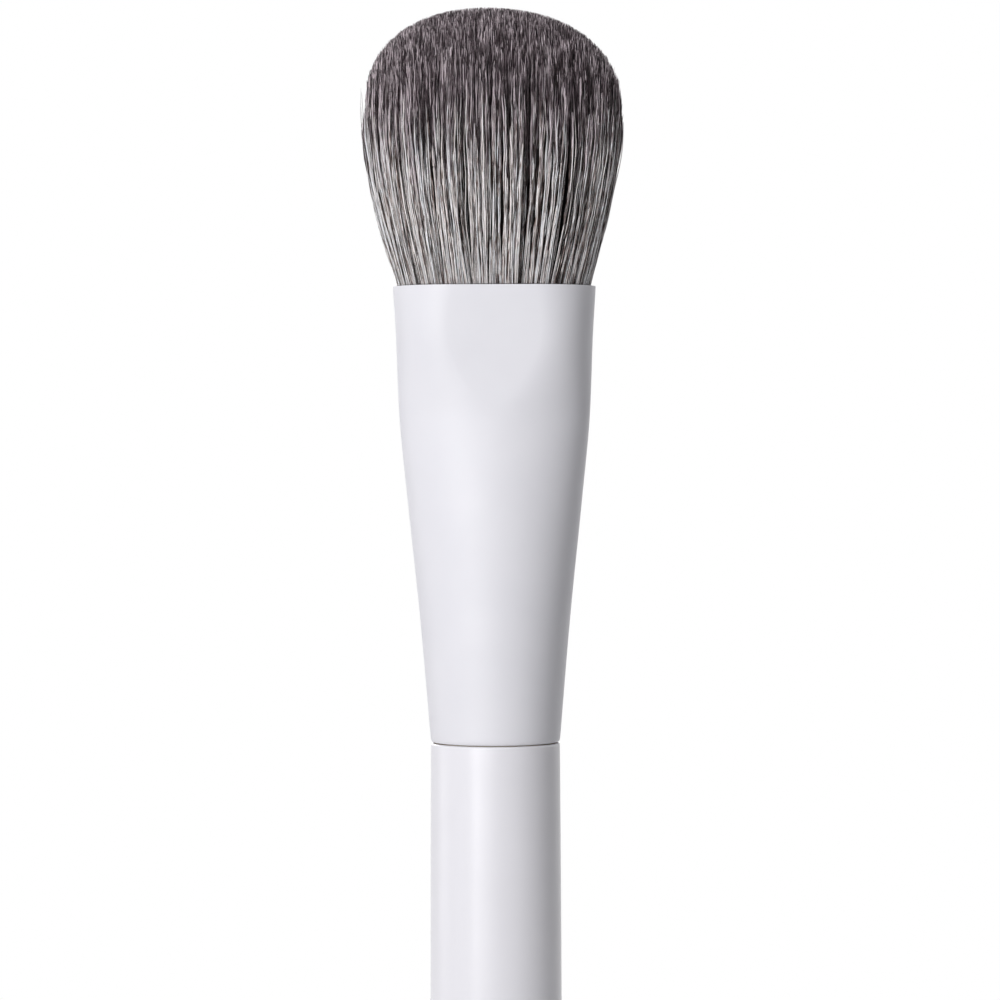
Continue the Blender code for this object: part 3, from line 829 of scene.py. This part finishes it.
# %% [markdown]
# The hair is dyed in two tones. The tips were dipped in a mauve brown that crept down every hair by a
# different amount, and below it the hairs are a mixture of white, grey, warm brown and near black. The
# hair's own attributes drive this: a random number for each hair and one for its lock, its height above
# the mouth, and where its root is. Neighbours in a lock so share some of their tone, most of all near the
# mouth and at the bundle's sides. Light and shade are painted into the colour as well. Below the dye,
# hairs deeper in the bundle are painted darker as shade, and the outermost ones and the lifted wisps
# lighter as light. Along its length each hair is painted brighter and darker as glints and shade. The
# tones' shifts from left to right are partly the hairs' own tone and partly painted shade that darkens
# the right side. The lowest five millimetres above the mouth are a little darker, and right at the mouth
# a thin dark line is painted as the shade where no light gets in.

# %% Group: two-tone dye
# Heights above the mouth and distances from the middle are in mm
DYE_LINE = 16.4
DYE_SPREAD = 5.4
DYE_EDGE = 1.4
DIP_DEPTH = 12.0
BUNDLE_REACH = 9.5
GLINT_PACE = 0.006
NO_SHIFT = 0.5
SEED_STEP = 917.0
UNDYED_SEED, TINT_SEED, DYED_SEED, GLINT_SEED, LINE_SEED = 1.5, 2.5, 4.5, 6.5, 8.5

# Shifts from the left of the bundle to its right: of the two tones, partly the hairs' own tone and
# partly painted shade that darkens the right side, and of the line between the tones
UNDYED_TONES_AND_SHADE = (-0.02, 0.03, 0.19, 0.01, 0.03, -0.21, -0.08)
DYED_TONES_AND_SHADE = (0.03, -0.042, -0.035, 0.01, -0.04, -0.078, 0.02)
DYE_DIPS = (0.0, -0.13, -0.05, 0.0, -0.03, -0.06, 0.02)

# Each row is a range of what is read, and the range of shifts that it is taken to
# Painted glints and shade along each hair
GLINT_AND_SHADE_SHIFT = (*NOISE_RANGE, -0.18, 0.18)
PATCH_SHIFT = (*NOISE_RANGE, -0.08, 0.08)
PATCH_LINE_SHIFT = (*NOISE_RANGE, -1.0, 1.0)
LOCK_SHIFT = (0.0, 1.0, -0.22, 0.17)
LOCK_MORE_AT_SIDES = (5.5, 9.5, 1.0, 2.0)
LOCK_MORE_AT_MOUTH = (0.0, 9.0, 1.6, 1.0)
# Painted shade and light: hairs deeper in the bundle darker, the outermost ones lighter
PAINTED_SHADE_BY_DEPTH = (0.08, 0.4, 0.13, -0.55)
# Painted light: the lifted wisps lighter
LIFTED_PAINTED_LIGHT = (-0.4, 0.0, 0.12, 0.0)
MOUTH_SHIFT = (0.0, 5.0, -0.07, 0.02)
# Painted shade: a thin dark line right above the mouth
MOUTH_LINE_SHADE = (0.06, 0.17, 0.75, 0.0)

MOUTH_LINE_SHADE_COLOUR = (0.01, 0.01, 0.012)
WARM_TINT = (1.0, 0.94, 0.90)
COOL_TINT = (0.93, 0.97, 1.0)
UNDYED_STOPS = (
    (0.00, (0.006, 0.0035, 0.003)),
    (0.22, (0.020, 0.010, 0.008)),
    (0.29, (0.11, 0.075, 0.068)),
    (0.37, (0.26, 0.19, 0.18)),
    (0.45, (0.58, 0.51, 0.50)),
    (0.53, (0.98, 0.965, 0.98)),
)
DYED_STOPS = (
    (0.0, (0.006, 0.0022, 0.0032)),
    (0.40, (0.028, 0.0135, 0.019)),
    (0.60, (0.213, 0.168, 0.187)),
    (1.0, (0.87, 0.76, 0.81)),
)

dye_group, given, result = new_group(
    "two_tone_dye",
    [("Strand", "NodeSocketVector"), ("Root Spot", "NodeSocketVector")],
    [("Color", "NodeSocketColor")],
)
strand = add(dye_group, "ShaderNodeSeparateXYZ", Vector=given["Strand"])
hair_number, above_mouth, lock_number = strand.outputs
spot = add(dye_group, "ShaderNodeSeparateXYZ", Vector=given["Root Spot"])
sideways, _, deep = spot.outputs


def chance_number(seed):
    """Another random number for each hair, from its first one."""
    shifted = math_node(dye_group, "MULTIPLY_ADD", hair_number, SEED_STEP, seed)
    return add(dye_group, "ShaderNodeTexWhiteNoise", noise_dimensions="1D", W=shifted).outputs["Value"]


def tone_across(tones):
    """A shift of tone from the left of the bundle to its right, given at evenly spaced places."""
    stops = [(number / (len(tones) - 1), (NO_SHIFT + tone,) * 3) for number, tone in enumerate(tones)]
    grey = ramp(dye_group, stops, mapped(dye_group, sideways, -BUNDLE_REACH, BUNDLE_REACH, 0.0, 1.0))
    return math_node(dye_group, "SUBTRACT", grey, NO_SHIFT)


patch = add(dye_group, "ShaderNodeTexNoise", Vector=given["Root Spot"], Scale=0.9,
            Detail=2.0, Roughness=0.6)
patch_value = patch.outputs["Fac"]
# Painted glints and shade: each hair brighter and darker along its length, from noise
along = add(dye_group, "ShaderNodeCombineXYZ", X=chance_number(GLINT_SEED),
            Y=math_node(dye_group, "MULTIPLY", above_mouth, GLINT_PACE))
glints_and_shade = add(dye_group, "ShaderNodeTexNoise", noise_dimensions="2D", Vector=along.outputs["Vector"],
             Scale=90.0, Detail=1.0)
lock_shift = mapped(dye_group, lock_number, *LOCK_SHIFT)
from_middle = math_node(dye_group, "ABSOLUTE", sideways)
for source, more in ((from_middle, LOCK_MORE_AT_SIDES), (above_mouth, LOCK_MORE_AT_MOUTH)):
    lock_shift = math_node(dye_group, "MULTIPLY", lock_shift, mapped(dye_group, source, *more))
shift = add_up(dye_group, mapped(dye_group, patch_value, *PATCH_SHIFT), lock_shift,
               mapped(dye_group, glints_and_shade.outputs["Fac"], *GLINT_AND_SHADE_SHIFT))

# Painted shade and light by depth in the bundle and by lifting, and a darker tone near the mouth
painted_light_and_mouth_shift = add_up(
    dye_group, mapped(dye_group, deep, *PAINTED_SHADE_BY_DEPTH), mapped(dye_group, deep, *LIFTED_PAINTED_LIGHT),
    mapped(dye_group, above_mouth, *MOUTH_SHIFT))
undyed = ramp(dye_group, UNDYED_STOPS, add_up(
    dye_group, shift, tone_across(UNDYED_TONES_AND_SHADE), painted_light_and_mouth_shift, chance_number(UNDYED_SEED)))
tint = mix_colours(dye_group, chance_number(TINT_SEED), WARM_TINT, COOL_TINT)
undyed = mix_colours(dye_group, 1.0, undyed, tint, "MULTIPLY")
dyed = ramp(dye_group, DYED_STOPS, add_up(
    dye_group, shift, tone_across(DYED_TONES_AND_SHADE), chance_number(DYED_SEED)))

dye_line = add_up(
    dye_group,
    mapped(dye_group, chance_number(LINE_SEED), 0.0, 1.0, DYE_LINE - DYE_SPREAD, DYE_LINE + DYE_SPREAD),
    mapped(dye_group, patch_value, *PATCH_LINE_SHIFT),
    math_node(dye_group, "MULTIPLY", tone_across(DYE_DIPS), DIP_DEPTH))
past_line = math_node(dye_group, "SUBTRACT", above_mouth, dye_line)
dye_share = mapped(dye_group, past_line, -DYE_EDGE, DYE_EDGE, 0.0, 1.0)
hair_colour = mix_colours(dye_group, dye_share, undyed, dyed)
# Painted shade: the thin dark line right at the mouth
root_shade = mapped(dye_group, above_mouth, *MOUTH_LINE_SHADE)
feed(dye_group, result["Color"], mix_colours(dye_group, root_shade, hair_colour, MOUTH_LINE_SHADE_COLOUR))

# %% [markdown]
# The hair itself is a drawn plastic fibre with a low sheen, the same all over. Its detail is in its
# shape and in the colours of its thousands of neighbours.

# %% Material: hair
HAIR_ROUGHNESS = 0.32
HAIR_SPECULAR = 0.22

hair_material, tree, shader = new_material("two_tone_hair")
dye = add(tree, "ShaderNodeGroup", node_tree=dye_group)
for layer, socket in (("strand", "Strand"), ("root_spot", "Root Spot")):
    attribute = add(tree, "ShaderNodeAttribute", attribute_name=layer)
    feed(tree, dye.inputs[socket], attribute.outputs["Vector"])
feed(tree, shader.inputs["Base Color"], dye.outputs["Color"])
shader.inputs["Roughness"].default_value = HAIR_ROUGHNESS
shader.inputs["Specular IOR Level"].default_value = HAIR_SPECULAR

# %% [markdown]
# What the ferrule hides still gets its own finish: amber resin round the root, a spun thread, a creamy
# glue and the bare wood of the tenon. All four are two tones in noise, stretched along the brush for
# the wood's grain and packed closer for the thread's twist, so one group serves them.

# %% Group: two tones in noise
MOTTLE_RANGE = (0.35, 0.65)
MOTTLE_STRENGTH = 0.5
DULLER_IN_THE_DARK = 0.06

mottle_group, given, result = new_group(
    "two_tones_in_noise",
    [("Place", "NodeSocketVector"), ("Stretch", "NodeSocketVector"), ("Scale", "NodeSocketFloat"),
     ("Light", "NodeSocketColor"), ("Dark", "NodeSocketColor")],
    [("Color", "NodeSocketColor"), ("Tone", "NodeSocketFloat"), ("Height", "NodeSocketFloat")],
)
stretched = add(mottle_group, "ShaderNodeMapping", Vector=given["Place"])
feed(mottle_group, stretched.inputs["Scale"], given["Stretch"])
noise = add(mottle_group, "ShaderNodeTexNoise", Vector=stretched.outputs["Vector"], Scale=given["Scale"],
            Detail=4.0)
tone = mapped(mottle_group, noise.outputs["Fac"], *MOTTLE_RANGE, 0.0, 1.0)
colour = mix_colours(mottle_group, tone, given["Dark"], given["Light"])
for socket, value in (("Color", colour), ("Tone", tone), ("Height", noise.outputs["Fac"])):
    feed(mottle_group, result[socket], value)

# %% [markdown]
# The tone also says how rough a place is: the dark parts are a little duller than the light ones.


# %% Materials: inside the ferrule
def mottled(name, light, dark, scale, roughness, bump_height, stretch):
    """A material of two tones in noise, which also raises the surface a little."""
    material, tree, shader, mottle = textured_material(
        name, mottle_group, MOTTLE_STRENGTH, bump_height,
        Stretch=stretch, Scale=scale, Light=light, Dark=dark)
    feed(tree, shader.inputs["Base Color"], mottle["Color"])
    rough = mapped(tree, mottle["Tone"], 0.0, 1.0, roughness + DULLER_IN_THE_DARK, roughness)
    feed(tree, shader.inputs["Roughness"], rough)
    return material


# Rows: name, light tone, dark tone, waves in a metre, roughness, height of the bumps, stretch
MOTTLES = (
    ("root_resin", (0.55, 0.42, 0.22), (0.34, 0.24, 0.12), 900.0, 0.3, 0.03 * MM, (1.0, 1.0, 1.0)),
    ("spun_thread", (0.74, 0.68, 0.56), (0.52, 0.46, 0.36), 2500.0, 0.8, 0.05 * MM, (1.0, 1.0, 6.0)),
    ("tenon_glue_film", (0.82, 0.80, 0.72), (0.70, 0.66, 0.55), 700.0, 0.45, 0.02 * MM, (1.0, 1.0, 1.0)),
    ("bare_wood", (0.60, 0.45, 0.29), (0.42, 0.29, 0.17), 1600.0, 0.62, 0.03 * MM, (1.0, 1.0, 0.08)),
)
root_resin, thread_fibre, glue_film, bare_wood = [mottled(*row) for row in MOTTLES]

# %% [markdown]
# Each piece gets its finish and rides on the brush's one body. The pieces of the frame that stay
# hidden inside keep their shape and only change their material.


# %% Dress the pieces
def dress(piece, material, slot, *stands_for):
    """Gives a piece its finish and its body, and hides the frame's pieces that it stands for. The slot is
    not used.
    """
    piece.data.materials.clear()
    piece.data.materials.append(material)
    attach(piece, "root")
    if stands_for:
        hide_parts(*stands_for)


dress(ferrule, satin_coat, "satin_coat", "ferrule")
dress(handle, lacquer, "lacquer", "handle")
dress(bound_root, root_resin, "resin", "hair_tuft")
for piece in hair_pieces:
    dress(piece, hair_material, "hair", "hair_tuft")

handle.data.materials.append(bare_wood)
for face in handle.data.polygons:
    if face.center.z > SHOULDER_Z:
        face.material_index = 1

for node, material in (("root_glue_plug", root_resin), ("binding_thread", thread_fibre),
                       ("tenon_glue", glue_film)):
    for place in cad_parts[node].material_slots:
        place.material = material

# %% [markdown]
# ## Camera, light and floor
# The photograph was taken level with the brush's head, with a long lens. The camera stands 460 mm in
# front of it and sees the top 116 mm of the brush.

# %% Camera
CAMERA_DISTANCE = 460.0 * MM
CAMERA_Z = 126.6 * MM
SIDEWAYS = 0.6 * MM
AIM_Z = 120.8 * MM
VIEW_WIDTH = 116.3 * MM
ROLL = math.radians(-0.15)
SENSOR = 36.0
NEAREST = 0.01
FARTHEST = 20.0

camera_data = bpy.data.cameras.new("camera")
camera_data.sensor_width = SENSOR
camera_data.lens = SENSOR * CAMERA_DISTANCE / VIEW_WIDTH
camera_data.clip_start = NEAREST
camera_data.clip_end = FARTHEST
camera = bpy.data.objects.new("camera", camera_data)
bpy.context.scene.collection.objects.link(camera)
camera.location = (SIDEWAYS, -CAMERA_DISTANCE, CAMERA_Z)
look = Vector((SIDEWAYS, 0.0, AIM_Z)) - camera.location
turned = look.to_track_quat("-Z", "Y").to_matrix() @ Matrix.Rotation(ROLL, 3, "Z")
camera.rotation_euler = turned.to_euler()
bpy.context.scene.camera = camera
print("lens", round(camera_data.lens, 1))

# %% [markdown]
# A broad soft light and a tall narrow one stand in front and to the left, and the narrow one draws the
# line of light down the handle. Weak ones light the left side and the front's right, a lamp overhead
# lights the dome, and two behind keep the far side from going black. The fill is kept out of reflections.
# A light's place is its bearing from the camera's side and its height angle.

# %% Lights
LIGHT_DISTANCE = 0.8
HEAD_Z = 125.0 * MM
# Rows: name, bearing to the right of the camera, height angle, width, height, power in watts
LIGHTS = (
    ("key", -24.0, 14.0, 0.50, 0.60, 4.1),
    ("strip", -34.5, 8.0, 0.22, 0.80, 2.05),
    ("left_side", -105.0, 4.0, 0.30, 0.60, 0.95),
    ("front_right", 32.0, 4.0, 0.30, 0.60, 0.27),
    ("overhead", 0.0, 85.0, 0.60, 0.60, 1.75),
    ("behind", -160.0, 25.0, 0.50, 0.50, 2.8),
    ("back_fill", 142.0, 10.0, 0.30, 0.60, 1.8),
)


def add_light(name, bearing, rise, width, tall, power):
    """Adds a soft rectangular lamp that faces the head of the brush."""
    data = bpy.data.lights.new(name, "AREA")
    data.shape = "RECTANGLE"
    data.size, data.size_y, data.energy = width, tall, power
    lamp = bpy.data.objects.new(name, data)
    bpy.context.scene.collection.objects.link(lamp)
    turn, up = math.radians(bearing), math.radians(rise)
    out_from = Vector((math.sin(turn) * math.cos(up), -math.cos(turn) * math.cos(up), math.sin(up)))
    lamp.location = Vector((0.0, 0.0, HEAD_Z)) + out_from * LIGHT_DISTANCE
    lamp.rotation_euler = (-out_from).to_track_quat("-Z", "Y").to_euler()
    lamp.visible_camera = False
    lamp.visible_glossy = not name.endswith("fill")


for row in LIGHTS:
    add_light(*row)
print(len(LIGHTS), "lights")

# %% [markdown]
# The background is plain white. The world shows white to the camera and in reflections, and gives the
# object only a low, even light. The floor is a grey card, which throws little light up on the brush, with
# a glow that only the camera and the reflections see. The glow is weakest round the brush, whose shadow
# stays, and makes the card full white further out.

# %% World and floor
WORLD_LIGHT = 0.03
FLOOR_RADIUS = 0.42
FLOOR_SIDES = 96
FLOOR_GREY = (0.5, 0.5, 0.5)
FLOOR_ROUGHNESS = 0.9
FLOOR_GLOW = 0.55
SHADOW_REACH = 0.01
GLOW_REACH = 0.26


def shown(tree):
    """Is 1 where the camera, a reflection or a clear piece looks, and 0 where light comes from."""
    path = add(tree, "ShaderNodeLightPath")
    reflected = math_node(
        tree, "MAXIMUM", path.outputs["Is Glossy Ray"], path.outputs["Is Transmission Ray"])
    return math_node(tree, "MAXIMUM", path.outputs["Is Camera Ray"], reflected)


world = bpy.data.worlds.new("studio")
bpy.context.scene.world = world
world.use_nodes = True
tree = world.node_tree
background = tree.nodes["Background"]
feed(tree, background.inputs["Color"], WHITE)
feed(tree, background.inputs["Strength"], mapped(tree, shown(tree), 0.0, 1.0, WORLD_LIGHT, 1.0))

floor = add_piece("floor", bpy.ops.mesh.primitive_circle_add,
                  vertices=FLOOR_SIDES, radius=FLOOR_RADIUS, fill_type="NGON")
card, tree, shader = new_material("floor_card")
place = add(tree, "ShaderNodeTexCoord").outputs["Object"]
distance = add(tree, "ShaderNodeVectorMath", operation="LENGTH")
feed(tree, distance.inputs[0], place)
glow = mapped(tree, distance.outputs["Value"], SHADOW_REACH, GLOW_REACH, FLOOR_GLOW, 1.0)
for socket, value in (
    ("Base Color", FLOOR_GREY),
    ("Roughness", FLOOR_ROUGHNESS),
    ("Specular IOR Level", 0.0),
    ("Emission Color", WHITE),
    ("Emission Strength", math_node(tree, "MULTIPLY", shown(tree), glow)),
):
    feed(tree, shader.inputs[socket], value)
floor.data.materials.append(card)

bpy.context.scene.view_settings.view_transform = "Standard"
